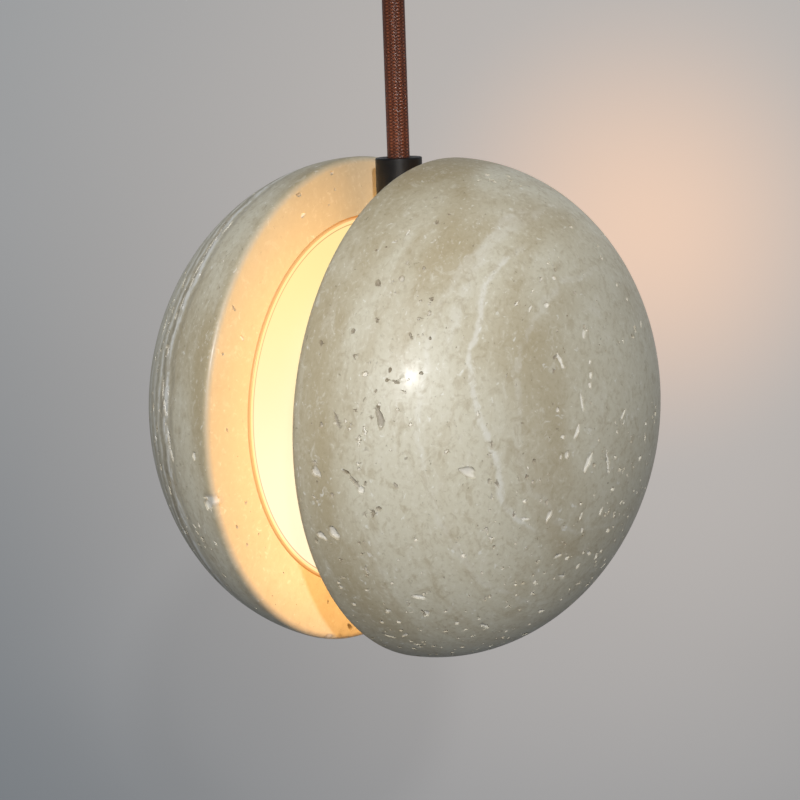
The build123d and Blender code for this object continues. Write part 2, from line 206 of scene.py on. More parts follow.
RIM_ANGLE, RIM_LEAN, RIM_CENTRE_RADIUS = rim_start()
RIM_LENGTH = float(np.interp(RIM_ANGLE, profile_angles, profile_lengths))


def dome_from_map(flat):
    """Dome points from a map of it, whose distance from the middle is the length along the dome."""
    length = np.hypot(flat[:, 0], flat[:, 1])
    turn = np.arctan2(flat[:, 1], flat[:, 0])
    angle = np.interp(length, profile_lengths, profile_angles)
    radius = SHELL_RADIUS * np.sin(angle)
    return np.stack([DOME_DEPTH * np.cos(angle), radius * np.cos(turn), radius * np.sin(turn)], 1)


def ring(radius, height=0.0, count=COLUMNS, middle=(0.0, 0.0)):
    """Points on a circle parallel to the flat face."""
    turn = np.arange(count) * 2 * math.pi / count
    return np.stack([
        np.full(count, height),
        middle[0] + radius * np.cos(turn),
        middle[1] + radius * np.sin(turn),
    ], 1)


class Pit:
    """One open pore of the stone: its place, its outline and its depth."""

    def __init__(self, place, along, sizes, depth, pale, rng, on_dome):
        self.place = np.asarray(place)
        if on_dome:
            self.normal = dome_normal(self.place[None])[0]
        else:
            self.normal = np.array([-1.0, 0.0, 0.0])
        along = along - self.normal * (along @ self.normal)
        self.along = along / np.linalg.norm(along)
        self.across = np.cross(self.normal, self.along)
        self.sizes = sizes
        self.depth = depth
        self.pale = pale
        self.waves = [(k, rng.uniform(-0.3, 0.3) / k ** 0.5, rng.uniform(0, 6.28)) for k in (2, 3, 5)]

    def edge(self, turn):
        """The outline's distance from the middle, as a share of the plain ellipse."""
        return 1 + sum(size * np.cos(k * turn + phase) for k, size, phase in self.waves)

    def share(self, points):
        """How far out points lie: 0 in the middle and 1 on the outline."""
        offset = points - self.place
        u = offset @ self.along / self.sizes[0]
        v = offset @ self.across / self.sizes[1]
        return np.hypot(u, v) / self.edge(np.arctan2(v, u))

    def near(self, points, room=0.0):
        """The numbers of the points that this pit can reach."""
        reach = self.sizes[0] * 1.7 + room
        return np.nonzero(np.abs(points - self.place).max(1) < reach)[0]

    def outline_points(self):
        """Points on rings inside the pit, which the mesh needs for its shape."""
        small = self.sizes[0] < SMALL_PIT
        count = 7 if small else int(np.clip(math.pi * sum(self.sizes) / OUTLINE_STEP, 9, 30))
        points = [self.place]
        for k, share in enumerate(SMALL_RING_SHARES if small else RING_SHARES):
            number = count if k < 2 else max(count // 2, 5)
            for i in range(number):
                turn = (i + k / 2) * 2 * math.pi / number
                reach = share * self.edge(turn)
                offset = self.along * self.sizes[0] * math.cos(turn)
                offset += self.across * self.sizes[1] * math.sin(turn)
                points.append(self.place + offset * reach)
        return np.array(points)


def to_map(pit, points):
    """Moves a pit's points from the plane that touches the dome to the dome's map."""
    h, y, z = pit.place
    radius = max(math.hypot(y, z), 1e-6)
    angle = math.atan2(radius / SHELL_RADIUS, h / DOME_DEPTH)
    length = float(np.interp(angle, profile_angles, profile_lengths))
    outward = np.array([0, y, z]) / radius
    around = np.array([0, -z, y]) / radius
    down = np.cross(around, pit.normal)
    if down @ outward < 0:
        down = -down
    offset = points - pit.place
    flat_out = np.array([y, z]) / radius
    flat_round = np.array([-z, y]) / radius
    stretch = length / radius if radius > 1e-4 else 1.0
    return (
        flat_out * length
        + np.outer(offset @ down, flat_out)
        + np.outer(offset @ around, flat_round) * stretch
    )


def clustered(place, seed):
    """A number that is high where pits crowd together."""
    return noise.noise(Vector(place) * 55 + Vector((seed, 0, 0))) * 0.6 + noise.noise(
        Vector((place[0] * 190, place[1] * 45, place[2] * 45 + seed))
    ) * 0.6


def dome_pits(count, seed, layers):
    """Random pits over a dome: more of them low down, and crowded in porous layers."""
    rng = random.Random(seed)
    pits = []
    while len(pits) < count:
        reach = RIM_LENGTH * math.sqrt(rng.random()) * 0.985
        turn = rng.uniform(0, 2 * math.pi)
        place = dome_from_map(np.array([[reach * math.cos(turn), reach * math.sin(turn)]]))[0]
        low = -place[2] / SHELL_RADIUS
        crowd = 0.16 + 0.34 * low + 0.1 * (place[0] / DOME_DEPTH) + clustered(place, seed)
        porous = sum(math.exp(-((place[0] - at) / spread) ** 2) for at, spread in layers)
        if rng.random() > crowd + 0.45 * porous:
            continue
        size = rng.choice(PIT_SIZES) * MM * rng.uniform(0.85, 1.25)
        slim = rng.uniform(0.45, 0.95)
        if rng.random() < 0.6 * porous:
            size *= 1.8
            slim = rng.uniform(0.2, 0.4)
        layer = np.array([rng.uniform(-0.3, 0.3), -math.sin(turn), math.cos(turn)])
        depth = min(size * slim * rng.uniform(1.0, 1.5), DEEPEST_PIT)
        pale = rng.choice((0.15, 0.6, 0.9))
        pits.append(Pit(place, layer, (size, size * slim), depth, pale, rng, True))
    return pits


def face_pits(count, seed):
    """Random pits in the flat face."""
    rng = random.Random(seed + 7)
    pits = []
    while len(pits) < count:
        radius = rng.uniform(SEAT_RADIUS + 1.6 * MM, RIM_CENTRE_RADIUS - 0.4 * MM)
        turn = rng.uniform(0, 2 * math.pi)
        place = np.array([0, radius * math.cos(turn), radius * math.sin(turn)])
        if rng.random() > 0.4 + clustered(place, seed + 3) - 0.25 * math.sin(turn):
            continue
        size = rng.choice((0.18, 0.24, 0.3, 0.4)) * MM
        heading = rng.uniform(0, math.pi)
        along = np.array([0, math.cos(heading), math.sin(heading)])
        slim = rng.uniform(0.5, 0.9)
        pale = rng.choice((0.2, 0.7))
        pits.append(Pit(place, along, (size, size * slim), size * slim, pale, rng, False))
    return pits


def seen_pit(side, on_dome, pixel_x, pixel_y, length, width, heading, pale, rng):
    """A pit that the photograph shows."""
    find = seen_on_dome if on_dome else seen_on_face
    place = find((pixel_x, pixel_y), side)
    ahead = math.radians(heading)
    step = HEADING_PIXELS
    tip = find((pixel_x + step * math.sin(ahead), pixel_y - step * math.cos(ahead)), side)
    grown = PALE_PIT_GROWTH if pale > 0.7 else 1.0
    depth = min(max(width, 0.3) * 0.9 * MM, DEEPEST_PIT)
    return Pit(place, tip - place, (length * grown * MM, width * grown * MM), depth, pale, rng, on_dome)


# Pits that stand out in the photograph: pixel x, pixel y, half length and half width in mm, heading in
# degrees from the picture's vertical, and how pale the pit is inside, from 0 to 1. That paleness is
# partly the pore's own tone and partly painted light: painted flash light on the walls of pale pits,
# painted shade in dark ones
SEEN_ON_RIGHT_DOME = (
    # Dark ones on its left and middle, with painted shade inside
    (378, 283, 1.1, 0.8, 10, 0.1), (377, 320, 0.7, 0.5, 0, 0.1),
    (353, 331, 0.8, 0.6, 20, 0.1), (321, 343, 1.0, 0.5, 170, 0.1),
    (354, 356, 0.5, 0.4, 0, 0.1), (390, 370, 0.7, 0.5, 20, 0.0),
    (387, 380, 0.6, 0.5, 0, 0.0), (396, 382, 1.2, 0.4, 115, 0.1),
    (376, 391, 0.5, 0.4, 0, 0.2), (378, 407, 0.8, 0.6, 0, 0.0),
    (380, 419, 3.0, 1.0, 172, 0.3), (337, 421, 3.2, 0.4, 162, 0.2),
    (411, 336, 1.0, 0.4, 165, 0.2), (424, 268, 0.6, 0.5, 0, 0.4),
    (437, 222, 0.9, 0.5, 30, 0.1), (449, 214, 0.5, 0.4, 0, 0.1),
    (436, 197, 0.6, 0.4, 60, 0.2), (376, 250, 0.5, 0.4, 0, 0.1),
    (386, 247, 0.4, 0.4, 0, 0.1), (346, 472, 1.1, 0.6, 120, 0.0),
    (355, 482, 2.6, 0.5, 137, 0.2), (361, 490, 0.9, 0.7, 110, 0.9),
    (396, 486, 1.0, 0.5, 150, 0.3), (316, 472, 1.3, 0.9, 150, 0.8),
    (359, 469, 0.6, 0.5, 0, 0.6), (332, 495, 0.7, 0.6, 160, 0.3),
    (314, 497, 0.6, 0.4, 140, 0.7), (300, 500, 0.6, 0.5, 0, 0.7),
    (334, 533, 1.6, 1.0, 140, 0.9), (322, 536, 1.3, 0.7, 135, 0.9),
    (468, 472, 1.9, 1.0, 100, 0.8), (489, 481, 0.8, 0.5, 0, 0.2),
    (527, 477, 0.7, 0.6, 0, 0.1), (533, 482, 0.6, 0.5, 0, 0.5),
    (494, 547, 0.6, 0.5, 0, 0.1),
    # Pale ones on its right, with painted flash light on their walls
    (554, 278, 0.6, 0.5, 0, 0.9), (575, 293, 0.6, 0.4, 30, 0.3),
    (547, 305, 0.7, 0.6, 0, 0.9), (617, 285, 0.5, 0.4, 0, 0.9),
    (627, 299, 0.5, 0.4, 0, 0.9), (641, 324, 0.8, 0.4, 0, 0.9),
    (584, 334, 1.0, 0.6, 0, 0.8), (556, 357, 1.1, 0.6, 60, 0.2),
    (561, 361, 1.7, 0.6, 160, 1.0), (554, 371, 0.7, 0.5, 30, 0.1),
    (590, 362, 0.5, 0.4, 0, 0.9), (591, 375, 0.7, 0.6, 0, 0.9),
    (590, 385, 0.7, 0.5, 0, 0.9), (582, 402, 2.2, 0.35, 172, 1.0),
    (558, 410, 0.6, 0.5, 0, 0.8), (577, 432, 1.9, 0.45, 20, 1.0),
    (563, 437, 0.6, 0.5, 0, 0.9), (567, 455, 0.9, 0.6, 20, 0.8),
    (561, 457, 0.5, 0.4, 0, 0.8), (588, 463, 2.4, 0.6, 22, 1.0),
    (594, 465, 0.8, 0.6, 160, 0.1), (608, 462, 2.9, 0.4, 175, 1.0),
    (623, 415, 1.3, 0.4, 20, 1.0), (645, 437, 1.0, 0.35, 0, 1.0),
    (640, 458, 0.9, 0.5, 40, 1.0),
    # Lower down
    (525, 519, 1.1, 0.4, 95, 0.9), (547, 502, 0.8, 0.6, 30, 0.2),
    (549, 516, 1.5, 0.6, 25, 0.9), (581, 516, 0.9, 0.35, 20, 0.9),
    (601, 511, 1.0, 0.5, 20, 0.9), (608, 530, 0.8, 0.7, 0, 0.9),
    (582, 530, 0.7, 0.4, 0, 0.9), (558, 556, 1.3, 0.4, 65, 0.9),
    (567, 558, 0.7, 0.5, 100, 0.9), (578, 566, 0.8, 0.5, 40, 0.9),
    (589, 553, 1.0, 0.5, 150, 0.9), (596, 557, 0.7, 0.5, 40, 0.9),
    (601, 551, 0.6, 0.5, 0, 0.9), (562, 576, 1.5, 0.35, 95, 0.9),
    (535, 582, 0.6, 0.5, 0, 0.8), (541, 611, 1.3, 0.5, 100, 0.9),
    (485, 599, 1.1, 0.3, 170, 0.4), (419, 597, 1.8, 0.5, 95, 1.0),
    (427, 613, 1.0, 0.5, 150, 0.9), (388, 611, 0.7, 0.6, 0, 0.9),
    (392, 583, 0.6, 0.5, 0, 0.6), (382, 622, 0.6, 0.5, 0, 0.9),
    (399, 622, 0.6, 0.5, 0, 0.9), (390, 636, 1.5, 0.5, 105, 0.9),
    (405, 635, 1.3, 0.4, 60, 0.9), (417, 644, 0.8, 0.5, 100, 0.9),
    (434, 646, 0.7, 0.5, 100, 0.7), (446, 611, 0.6, 0.5, 0, 0.3),
    (446, 631, 0.8, 0.6, 90, 0.2), (457, 623, 0.6, 0.5, 0, 0.9),
    (485, 626, 1.5, 0.6, 120, 1.0), (503, 637, 0.7, 0.5, 100, 0.9),
    (506, 631, 0.5, 0.4, 0, 0.9), (525, 634, 1.7, 1.0, 80, 0.0),
    (341, 587, 0.6, 0.5, 0, 0.8), (354, 604, 0.6, 0.5, 0, 0.8),
)
SEEN_ON_LEFT_DOME = (
    (225, 224, 5.0, 0.35, 40, 1.0), (210, 246, 4.5, 0.4, 34, 1.0),
    (198, 268, 3.0, 0.4, 30, 1.0), (192, 282, 1.4, 0.4, 25, 1.0),
    (182, 303, 1.8, 0.4, 22, 1.0), (176, 316, 1.0, 0.4, 20, 0.9),
    (228, 227, 1.6, 0.4, 40, 0.9), (184, 282, 1.5, 0.4, 25, 0.9),
    (165, 325, 2.0, 0.35, 15, 0.9), (168, 350, 1.2, 0.5, 8, 1.0),
    (163, 388, 2.4, 0.45, 4, 1.0), (165, 407, 2.2, 0.4, 175, 1.0),
    (169, 440, 3.2, 0.4, 172, 1.0), (172, 455, 1.4, 0.45, 170, 0.9),
    (161, 467, 0.8, 0.5, 0, 0.9), (194, 456, 1.0, 0.5, 0, 0.9),
    (170, 490, 1.1, 0.5, 165, 0.9), (151, 443, 0.8, 0.5, 0, 0.9),
    (153, 455, 0.8, 0.5, 0, 0.9), (200, 275, 0.8, 0.5, 30, 0.2),
    (208, 505, 1.4, 0.8, 170, 0.9), (213, 503, 1.2, 0.6, 175, 1.0),
    (199, 525, 0.8, 0.4, 160, 0.8), (224, 575, 0.7, 0.4, 140, 0.8),
)
SEEN_ON_LEFT_FACE = (
    (332, 173, 1.0, 0.6, 60, 0.4), (299, 195, 1.3, 0.5, 75, 0.3),
    (303, 215, 0.8, 0.5, 50, 0.9), (335, 189, 0.7, 0.5, 0, 0.2),
    (264, 214, 0.8, 0.5, 60, 0.9), (234, 308, 1.1, 0.4, 150, 0.2),
    (223, 354, 0.5, 0.4, 0, 0.2), (242, 338, 0.7, 0.4, 150, 0.8),
    (227, 430, 0.5, 0.35, 0, 0.2), (214, 502, 1.3, 0.6, 170, 0.9),
    (209, 468, 0.7, 0.4, 170, 0.4), (237, 527, 0.8, 0.4, 160, 0.2),
    (247, 545, 0.6, 0.4, 0, 0.3), (246, 503, 0.6, 0.4, 30, 0.3),
    (328, 602, 0.7, 0.4, 0, 0.1), (350, 627, 1.5, 0.8, 145, 0.0),
    (341, 635, 1.0, 0.5, 110, 0.2), (330, 637, 1.2, 0.6, 95, 1.0),
)


def even_dome_map():
    """Evenly spaced points over the dome's map, in rings whose spacing is true on the dome."""
    rng = np.random.default_rng(3)
    rings = []
    length = SPACING * 0.6
    while length < RIM_LENGTH - SPACING * 0.6:
        angle = float(np.interp(length, profile_lengths, profile_angles))
        count = max(int(2 * math.pi * SHELL_RADIUS * math.sin(angle) / SPACING), 5)
        turn = (np.arange(count) + rng.random()) * 2 * math.pi / count
        turn += rng.uniform(-0.12, 0.12, count) * 2 * math.pi / count
        reach = length + rng.uniform(-0.12, 0.12, count) * SPACING
        rings.append(np.stack([reach * np.cos(turn), reach * np.sin(turn)], 1))
        length += SPACING * 0.9
    return np.concatenate(rings)


def even_face_points(inner, outer, spacing):
    """Evenly spaced points over a flat ring."""
    rng = np.random.default_rng(4)
    rings = []
    radius = inner + spacing * 0.8
    while radius < outer - spacing * 0.6:
        count = int(2 * math.pi * radius / spacing)
        turn = (np.arange(count) + rng.random() + rng.uniform(-0.12, 0.12, count)) * 2 * math.pi / count
        rings.append(np.stack([radius * np.cos(turn), radius * np.sin(turn)], 1))
        radius += spacing * 0.9
    return np.concatenate(rings)


def clear_of_pits(points, pits):
    """Which points lie outside all pits and not close to their outlines."""
    keep = np.ones(len(points), bool)
    for pit in pits:
        near = pit.near(points, SPACING)
        room = 0.32 * SPACING / (sum(pit.sizes) / 2)
        keep[near[pit.share(points[near]) < OUTLINE_SHARE + room]] = False
    return keep


def without_doubles(flat, fixed):
    """Points without those that nearly coincide. The first few are always kept."""
    cells = np.round(flat / (0.1 * MM)).astype(int)
    first = np.unique(cells, axis=0, return_index=True)[1]
    keep = np.zeros(len(flat), bool)
    keep[first] = True
    keep[:fixed] = True
    return flat[keep]


def triangulate(flat):
    """Triangles over a set of flat points, as their numbers."""
    result = geometry.delaunay_2d_cdt([Vector(p) for p in (flat / MM).tolist()], [], [], 0, 1e-7)
    faces, origin = np.array(result[2]), result[3]
    first = np.array([ids[0] if ids else -1 for ids in origin])
    return first[faces]


def dome_mesh(pits):
    """Map points and triangles of the dome. Its outer circle comes first."""
    outer = ring(RIM_LENGTH)[:, 1:]
    base = even_dome_map()
    base = base[clear_of_pits(dome_from_map(base), pits)]
    extra = [to_map(pit, pit.outline_points()) for pit in pits]
    inside = np.concatenate([base] + extra)
    inside = inside[np.hypot(inside[:, 0], inside[:, 1]) < RIM_LENGTH - 0.3 * MM]
    flat = without_doubles(np.concatenate([outer, inside]), COLUMNS)
    return dome_from_map(flat), triangulate(flat)


def flat_mesh(circles, spacing, pits):
    """Points and triangles of a flat disc with round holes. The circles' own points come first."""
    inner = circles[1]
    base = even_face_points(inner[1], circles[0][1], spacing)
    base = base[clear_of_pits(np.insert(base, 0, 0, axis=1), pits)]
    extra = [pit.outline_points()[:, 1:] for pit in pits]
    inside = np.concatenate([base] + extra)
    reach = np.hypot(inside[:, 0], inside[:, 1])
    inside = inside[(reach > inner[1] + 0.25 * MM) & (reach < circles[0][1] - 0.25 * MM)]
    for middle, radius, _ in circles[2:]:
        inside = inside[np.hypot(*(inside - middle).T) > radius + spacing * 0.4]
    rims = [ring(radius, 0, count, middle)[:, 1:] for middle, radius, count in circles]
    fixed = sum(len(rim) for rim in rims)
    flat = without_doubles(np.concatenate(rims + [inside]), fixed)
    faces = triangulate(flat)
    keep = np.ones(len(faces), bool)
    first = len(rims[0])
    for rim in rims[1:]:
        inside_hole = (faces >= first) & (faces < first + len(rim))
        keep &= ~inside_hole.all(1)
        first += len(rim)
    return flat, faces[keep][:, ::-1]


class Skin:
    """Collects the points and faces of one closed stone half."""

    def __init__(self):
        self.points = []
        self.faces = []
        self.total = 0

    def add(self, points):
        """Adds points and gives the numbers that they get."""
        self.points.append(points)
        first = self.total
        self.total += len(points)
        return np.arange(first, self.total)

    def band(self, a, b):
        """Joins two rings, the second one further along the profile."""
        for i in range(len(a)):
            k = (i + 1) % len(a)
            self.faces.append((a[i], b[i], b[k], a[k]))

    def end(self, a, middle):
        """Closes a ring with a point in its middle."""
        for i in range(len(a)):
            self.faces.append((a[i], middle, a[(i + 1) % len(a)]))


def stone_skin(pits_on_dome, pits_on_face):
    """All points and faces of a half before its pits are sunk, with the outer points first."""
    skin = Skin()
    points, faces = dome_mesh(pits_on_dome)
    numbers = skin.add(points)
    skin.faces += [tuple(f) for f in numbers[faces]]
    last = numbers[:COLUMNS]
    for i in range(1, ROUND_STEPS):
        turn = RIM_LEAN - (RIM_LEAN + math.pi / 2) * i / ROUND_STEPS
        height = RIM_ROUND + RIM_ROUND * math.sin(turn)
        numbers = skin.add(ring(RIM_CENTRE_RADIUS + RIM_ROUND * math.cos(turn), height))
        skin.band(last, numbers)
        last = numbers
    circles = [((0, 0), RIM_CENTRE_RADIUS, COLUMNS), ((0, 0), SEAT_RADIUS, COLUMNS)]
    flat, faces = flat_mesh(circles, SPACING, pits_on_face)
    numbers = skin.add(np.insert(flat, 0, 0, axis=1))
    skin.faces += [tuple(f) for f in numbers[faces]]
    skin.band(last, numbers[:COLUMNS])
    outer_count = skin.total
    last = numbers[COLUMNS:2 * COLUMNS]
    for radius, height in (
        (SEAT_RADIUS, seat_x - FACE_X),
        (CAVITY_RADIUS, seat_x - FACE_X),
        (CAVITY_RADIUS, cavity_x - FACE_X),
    ):
        numbers = skin.add(ring(radius, height))
        skin.band(last, numbers)
        last = numbers
    add_floor(skin, last)
    return np.concatenate(skin.points), skin.faces, outer_count


def add_floor(skin, rim):
    """The cavity's floor with the middle pocket and the insert holes."""
    holes = []
    for i in range(INSERT_COUNT):
        turn = math.pi / 2 + 2 * math.pi * i / INSERT_COUNT
        middle = (INSERT_RING * math.cos(turn), INSERT_RING * math.sin(turn))
        holes.append((middle, INSERT_HOLE_RADIUS, HOLE_COLUMNS))
    circles = [((0, 0), CAVITY_RADIUS, COLUMNS), ((0, 0), POCKET_RADIUS, POCKET_COLUMNS)] + holes
    flat, faces = flat_mesh(circles, FLOOR_SPACING, [])
    floor = skin.add(np.insert(flat[COLUMNS:], 0, cavity_x - FACE_X, axis=1))
    numbers = np.concatenate([rim, floor])
    skin.faces += [tuple(f) for f in numbers[faces]]
    start = COLUMNS
    ends = [POCKET_X] + [insert_end_x] * INSERT_COUNT
    for (middle, radius, count), end in zip(circles[1:], ends):
        mouth = numbers[start:start + count]
        bottom = skin.add(ring(radius, end - FACE_X, count, middle))
        skin.band(mouth, bottom)
        centre = skin.add(np.array([[end - FACE_X, *middle]]))
        skin.end(bottom, centre[0])
        start += count


def sink_pits(points, count, pits):
    """Sinks the outer points that lie in a pit, and says how deep each is and how pale."""
    normals = dome_normal(points[:count])
    flat = points[:count, 0] < 1e-7
    normals[flat] = (-1, 0, 0)
    depth = np.zeros(len(points))
    shade = np.zeros(len(points))
    pale = np.zeros(len(points))
    for pit in pits:
        near = pit.near(points[:count])
        share = pit.share(points[near])
        sunk = np.clip((1 - share) / PIT_WALL, 0, 1) ** 0.7
        deeper = sunk * pit.depth > depth[near]
        near, sunk = near[deeper], sunk[deeper]
        depth[near] = sunk * pit.depth
        shade[near] = sunk
        pale[near] = pit.pale
    moved = points.copy()
    moved[:count] -= normals * depth[:count, None]
    return moved, shade, pale


def make_stone(name, side, seed, layers, seen_dome, seen_face):
    """One travertine half."""
    rng = random.Random(seed)
    dome = [seen_pit(side, True, *row, rng) for row in seen_dome]
    dome += dome_pits(PITS_PER_DOME, seed, layers)
    face = [seen_pit(side, False, *row, rng) for row in seen_face]
    face += face_pits(PITS_PER_FACE, seed)
    points, faces, count = stone_skin(dome, face)
    points, shade, pale = sink_pits(points, count, dome + face)
    world = (points + np.array([FACE_X, 0, 0])) * np.array([side, side, 1]) + np.array(LAMP_CENTRE)
    stone = add_mesh(name, world, faces)
    stone.data.set_sharp_from_angle(angle=SHARP_ANGLE)
    add_values(stone, "pit", shade)
    add_values(stone, "pale", pale)
    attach(stone, "lamp")
    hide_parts(name.replace("travertine", "stone_shell"))
    return stone


# Porous layers: their height above the flat face and their spread
LEFT_LAYERS = ((19 * MM, 2 * MM), (27 * MM, 5 * MM))
RIGHT_LAYERS = ((22 * MM, 3 * MM), (47 * MM, 2.5 * MM))

stones = [
    make_stone("left_travertine", -1, 11, LEFT_LAYERS, SEEN_ON_LEFT_DOME, SEEN_ON_LEFT_FACE),
    make_stone("right_travertine", 1, 5, RIGHT_LAYERS, SEEN_ON_RIGHT_DOME, ()),
]


# Braided cord

CARRIERS = 12
CARRIER_PITCH = 0.95 * MM
SAMPLES = 8
ROW_STEP = 0.125 * MM
BRAID_RELIEF = 0.2 * MM


def cord_route():
    """The cord's line, read from its own smooth spline."""
    curve = bpy.data.curves.new("cord_route", "CURVE")
    curve.dimensions = "3D"
    curve.resolution_u = 64
    spline = curve.splines.new("NURBS")
    route = [(0, 0, cord_low), (0, 0, stem_top), (0, 0, SWING_PIVOT_Z), (0, 0, cord_high)]
    spline.points.add(len(route) - 1)
    for point, place in zip(spline.points, route):
        point.co = (*place, 1)
    spline.order_u = 3
    spline.use_endpoint_u = True
    holder = bpy.data.objects.new("cord_route", curve)
    bpy.context.collection.objects.link(holder)
    mesh = bpy.data.meshes.new_from_object(holder)
    points = np.array([v.co[:] for v in mesh.vertices])
    bpy.data.objects.remove(holder)
    return points


def make_cord():
    """A tube of crossing yarns: each one runs over and under the others in turn."""
    route = cord_route()
    lengths = np.concatenate([[0], np.cumsum(np.linalg.norm(np.diff(route, axis=0), axis=1))])
    rows = int(lengths[-1] / ROW_STEP)
    columns = CARRIERS * SAMPLES
    reach = np.linspace(0, lengths[-1], rows)
    line = np.stack([np.interp(reach, lengths, route[:, i]) for i in range(3)], 1)
    turn, along = np.meshgrid(np.arange(columns) / SAMPLES, reach / CARRIER_PITCH)
    a, b = turn + along, turn - along
    a_on_top = (np.floor(a) + np.floor(b)) % 2 < 0.5
    across = np.where(a_on_top, a % 1, b % 1) * 2 - 1
    length = np.where(a_on_top, b % 1, a % 1) * 2 - 1
    lift = np.sqrt(np.clip(1 - across ** 2 * 0.94, 0, 1)) * (1 - 0.45 * length ** 2)
    radius = CORD_RADIUS - BRAID_RELIEF * (1 - lift)
    angle = turn * 2 * math.pi / CARRIERS
    points = np.stack([
        line[:, None, 0] + radius * np.cos(angle),
        line[:, None, 1] + radius * np.sin(angle),
        np.broadcast_to(line[:, None, 2], angle.shape),
    ], 2).reshape(-1, 3)
    faces = []
    for i in range(rows - 1):
        for j in range(columns):
            k = (j + 1) % columns
            a, b = i * columns, (i + 1) * columns
            faces.append((a + j, a + k, b + k, b + j))
    low, high = len(points), len(points) + 1
    points = np.concatenate([points, line[:1], line[-1:]])
    top = (rows - 1) * columns
    for j in range(columns):
        k = (j + 1) % columns
        faces.append((low, k, j))
        faces.append((high, top + j, top + k))
    cord = add_mesh("braided_cord", points, faces)
    ends = np.zeros(2)
    add_values(cord, "lift", np.concatenate([lift.ravel(), ends]))
    add_values(cord, "across", np.concatenate([across.ravel(), ends]))
    add_values(cord, "first", np.concatenate([a_on_top.ravel().astype(float), ends]))
    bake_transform(cord)
    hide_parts("cord", "cord_tail")
    return cord


cord = make_cord()


# Materials

class Nodes:
    """Builds the nodes of one material, or of the world, with few words."""

    def __init__(self, owner):
        owner.use_nodes = True
        self.owner = owner
        self.tree = owner.node_tree
        self.shader = self.tree.nodes.get("Principled BSDF")

    def add(self, kind, **values):
        """A new node with its settings."""
        node = self.tree.nodes.new(kind)
        for key, value in values.items():
            setattr(node, key, value)
        return node

    def put(self, socket, value):
        """Links a socket to another, or sets it to a plain value."""
        if isinstance(value, bpy.types.NodeSocket):
            self.tree.links.new(value, socket)
        else:
            socket.default_value = value

    def place(self):
        """The point's own place in metres."""
        return self.add("ShaderNodeTexCoord").outputs["Object"]

    def value(self, name):
        """One of the mesh's own numbers."""
        return self.add("ShaderNodeAttribute", attribute_name=name).outputs["Fac"]

    def stretch(self, vector, scale):
        """A place with its axes stretched."""
        node = self.add("ShaderNodeMapping")
        self.put(node.inputs["Vector"], vector)
        node.inputs["Scale"].default_value = scale
        return node.outputs["Vector"]

    def noise(self, vector, scale, detail=4.0, rough=0.5, warp=0.0):
        """Cloudy noise between 0 and 1."""
        node = self.add("ShaderNodeTexNoise")
        self.put(node.inputs["Vector"], vector)
        node.inputs["Scale"].default_value = scale
        node.inputs["Detail"].default_value = detail
        node.inputs["Roughness"].default_value = rough
        node.inputs["Distortion"].default_value = warp
        return node.outputs["Fac"]

    def math(self, operation, a, b=0.0):
        """Plain arithmetic."""
        node = self.add("ShaderNodeMath", operation=operation)
        self.put(node.inputs[0], a)
        self.put(node.inputs[1], b)
        return node.outputs[0]

    def times(self, a, b):
        """A product."""
        return self.math("MULTIPLY", a, b)

    def plus(self, a, b):
        """A sum."""
        return self.math("ADD", a, b)

    def step(self, value, low, high, to_low=0.0, to_high=1.0):
        """A smooth step from one number to another as a value crosses a range."""
        node = self.add("ShaderNodeMapRange", interpolation_type="SMOOTHSTEP")
        self.put(node.inputs["Value"], value)
        node.inputs["From Min"].default_value = low
        node.inputs["From Max"].default_value = high
        node.inputs["To Min"].default_value = to_low
        node.inputs["To Max"].default_value = to_high
        return node.outputs["Result"]

    def curve(self, value, points):
        """A smooth curve through pairs of numbers, all of them shorter than the lamp's radius."""
        node = self.add("ShaderNodeFloatCurve")
        line = node.mapping.curves[0]
        spots = [((a / SHELL_RADIUS + 1) / 2, (b / SHELL_RADIUS + 1) / 2) for a, b in points]
        line.points[0].location = spots[0]
        line.points[-1].location = spots[-1]
        for spot in spots[1:-1]:
            line.points.new(*spot)
        node.mapping.update()
        spot = self.plus(self.times(value, 0.5 / SHELL_RADIUS), 0.5)
        self.put(node.inputs["Value"], spot)
        share = self.math("SUBTRACT", node.outputs["Value"], 0.5)
        return self.times(share, 2 * SHELL_RADIUS)

    def mix(self, share, a, b):
        """A colour between two others."""
        node = self.add("ShaderNodeMix", data_type="RGBA")
        self.put(node.inputs[0], share)
        self.put(node.inputs[6], a)
        self.put(node.inputs[7], b)
        return node.outputs[2]

    def axes(self, vector):
        """A place's three numbers."""
        node = self.add("ShaderNodeSeparateXYZ")
        self.put(node.inputs[0], vector)
        return node.outputs

    def bump(self, height, distance):
        """Fine relief, by its height in metres."""
        node = self.add("ShaderNodeBump")
        self.put(node.inputs["Height"], height)
        node.inputs["Distance"].default_value = distance
        self.put(self.shader.inputs["Normal"], node.outputs["Normal"])

    def finish(self, **values):
        """Sets the shader's sockets, whose names are written with underscores."""
        for key, value in values.items():
            self.put(self.shader.inputs[key.replace("_", " ")], value)
        return self.owner


def new_material(name):
    """The nodes of a new material."""
    return Nodes(bpy.data.materials.new(name))


def srgb(red, green, blue):
    """A shader's colour from a picture's 0 to 255 numbers."""
    plain = [v / 255 for v in (red, green, blue)]
    linear = [v / 12.92 if v <= 0.04045 else ((v + 0.055) / 1.055) ** 2.4 for v in plain]
    return (*linear, 1.0)


def dress(material, names):
    """Gives objects one material."""
    for name in names:
        thing = bpy.data.objects[name]
        thing.data.materials.clear()
        thing.data.materials.append(material)


def both(*names):
    """The names of a part in both halves."""
    return [f"{side}_{name}" for side in SIDES for name in names]
